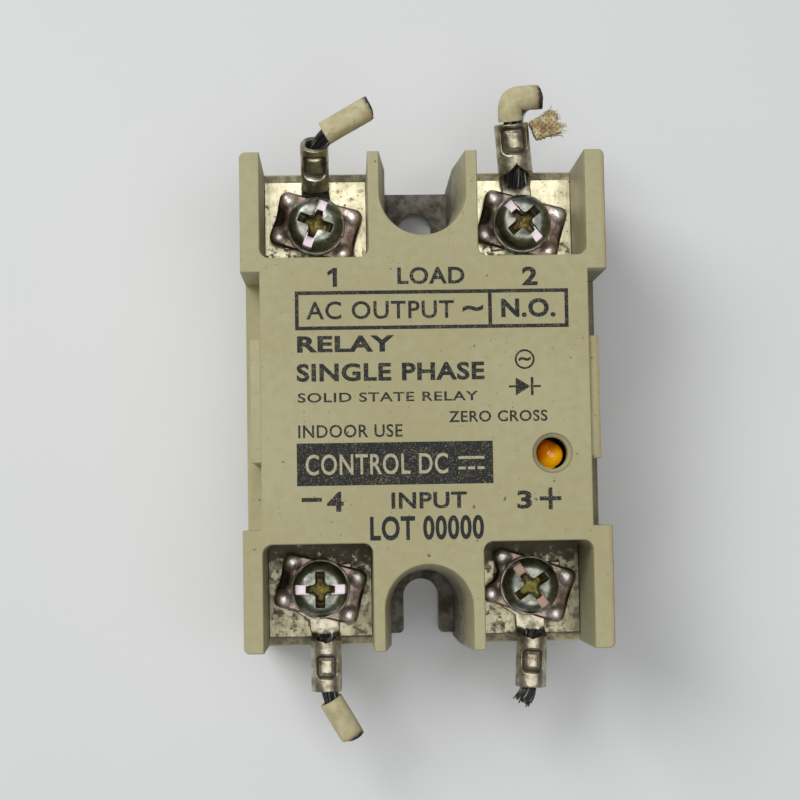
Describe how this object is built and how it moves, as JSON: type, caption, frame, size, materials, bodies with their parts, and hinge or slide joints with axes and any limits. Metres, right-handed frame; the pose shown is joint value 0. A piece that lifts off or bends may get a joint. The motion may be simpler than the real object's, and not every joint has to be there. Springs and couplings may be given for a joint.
{
  "type": "solid state relay",
  "caption": "Panel-mount solid state relay: moulded case on a metal base plate, end notches for mounting screws, screw terminals with crimped lugs and an indicator lamp.",
  "frame": {"origin": "centre of the bottom mounting face of the base plate", "axes": "+X across the relay towards terminals 2 and 3, +Y along it towards terminals 1 and 2, +Z out of the base towards the label face"},
  "size_m": [0.0426, 0.08, 0.0268],
  "materials": {
    "case_plastic": "moulded, slightly glossy, handled",
    "base_metal": "dull, stained",
    "sealing_gel": "soft, translucent",
    "substrate_ceramic": "fired, matt",
    "chip_silicon": "polished",
    "lead_wire": "tinned",
    "bus_copper": "bare copper, dull",
    "board_laminate": "paper laminate with solder resist",
    "package_black": "moulded",
    "capacitor_box": "moulded box",
    "resistor_body": "lacquered with colour bands",
    "varistor_coating": "dipped epoxy",
    "led_amber": "clear tinted",
    "terminal_brass": "dull plated, spotted",
    "nut_steel": "zinc plated",
    "screw_steel": "plated, aged",
    "spring_steel": "plated, aged",
    "washer_steel": "plated, tarnished with an iridescent tint",
    "lug_tinned": "tinned, grimy",
    "strand_copper": "fine strands, blackened",
    "sleeve_cream": "extruded, aged",
    "sleeve_frayed": "torn and fraying"
  },
  "bodies": {
    "relay_body": {"case": "case_plastic", "base_plate": "base_metal", "sealing_gel": "sealing_gel", "ceramic_substrate": "substrate_ceramic", "thyristor_chips": "chip_silicon", "gate_leads": "lead_wire", "load_bus_bar_1": "bus_copper", "load_bus_bar_2": "bus_copper", "circuit_board": "board_laminate", "opto_coupler": "package_black", "snubber_capacitor": "capacitor_box", "snubber_resistor": "resistor_body", "varistor": "varistor_coating", "input_transistor": "package_black", "input_diode": "package_black", "input_resistors": "resistor_body", "gate_resistors": "resistor_body", "indicator_led": "led_amber", "terminal_nut_1": "nut_steel", "terminal_nut_2": "nut_steel", "terminal_nut_3": "nut_steel", "terminal_nut_4": "nut_steel", "terminal_plate_1": "terminal_brass", "terminal_plate_2": "terminal_brass", "terminal_plate_3": "terminal_brass", "terminal_plate_4": "terminal_brass"},
    "clamp_1": {"clamp_washer_1": "washer_steel", "spring_washer_1": "spring_steel"},
    "screw_1": {"terminal_screw_1": "screw_steel"},
    "lug_1": {"crimp_lug_1": "lug_tinned", "wire_strands_1": "strand_copper", "wire_sleeve_1": "sleeve_cream"},
    "clamp_2": {"clamp_washer_2": "washer_steel", "spring_washer_2": "spring_steel"},
    "screw_2": {"terminal_screw_2": "screw_steel"},
    "lug_2": {"crimp_lug_2": "lug_tinned", "wire_strands_2": "strand_copper", "wire_sleeve_2": "sleeve_cream", "frayed_sleeve_2": "sleeve_frayed"},
    "clamp_3": {"clamp_washer_3": "washer_steel", "spring_washer_3": "spring_steel"},
    "screw_3": {"terminal_screw_3": "screw_steel"},
    "lug_3": {"crimp_lug_3": "lug_tinned", "wire_strands_3": "strand_copper"},
    "clamp_4": {"clamp_washer_4": "washer_steel", "spring_washer_4": "spring_steel"},
    "screw_4": {"terminal_screw_4": "screw_steel"},
    "lug_4": {"crimp_lug_4": "lug_tinned", "wire_strands_4": "strand_copper", "wire_sleeve_4": "sleeve_cream"}
  },
  "joints": [
    {"name": "clamp_1_lift", "type": "slide", "parent": "relay_body", "child": "clamp_1", "axis": [0, 0, 1], "range_m": [0, 0.0035]},
    {"name": "screw_1_turn", "type": "hinge", "parent": "clamp_1", "child": "screw_1", "pos_m": [-0.01265, 0.0221, 0.016], "axis": [0, 0, 1], "range_deg": [0, 1800]},
    {"name": "lug_1_pull", "type": "slide", "parent": "relay_body", "child": "lug_1", "axis": [0, 1, 0], "range_m": [0, 0.012]},
    {"name": "clamp_2_lift", "type": "slide", "parent": "relay_body", "child": "clamp_2", "axis": [0, 0, 1], "range_m": [0, 0.0035]},
    {"name": "screw_2_turn", "type": "hinge", "parent": "clamp_2", "child": "screw_2", "pos_m": [0.01265, 0.0221, 0.016], "axis": [0, 0, 1], "range_deg": [0, 1800]},
    {"name": "lug_2_pull", "type": "slide", "parent": "relay_body", "child": "lug_2", "axis": [-0.1011, 0.9949, 0], "range_m": [0, 0.012]},
    {"name": "clamp_3_lift", "type": "slide", "parent": "relay_body", "child": "clamp_3", "axis": [0, 0, 1], "range_m": [0, 0.0035]},
    {"name": "screw_3_turn", "type": "hinge", "parent": "clamp_3", "child": "screw_3", "pos_m": [0.01265, -0.0221, 0.016], "axis": [0, 0, 1], "range_deg": [0, 1800]},
    {"name": "lug_3_pull", "type": "slide", "parent": "relay_body", "child": "lug_3", "axis": [0.0314, -0.9995, 0], "range_m": [0, 0.012]},
    {"name": "clamp_4_lift", "type": "slide", "parent": "relay_body", "child": "clamp_4", "axis": [0, 0, 1], "range_m": [0, 0.0035]},
    {"name": "screw_4_turn", "type": "hinge", "parent": "clamp_4", "child": "screw_4", "pos_m": [-0.01265, -0.0221, 0.016], "axis": [0, 0, 1], "range_deg": [0, 1800]},
    {"name": "lug_4_pull", "type": "slide", "parent": "relay_body", "child": "lug_4", "axis": [0.0958, -0.9954, 0], "range_m": [0, 0.012]}
  ],
  "couplings": [
    {"joint": "screw_1_turn", "follows": "clamp_1_lift", "rad_per_m": 8975.9},
    {"joint": "screw_2_turn", "follows": "clamp_2_lift", "rad_per_m": 8975.9},
    {"joint": "screw_3_turn", "follows": "clamp_3_lift", "rad_per_m": 8975.9},
    {"joint": "screw_4_turn", "follows": "clamp_4_lift", "rad_per_m": 8975.9}
  ]
}
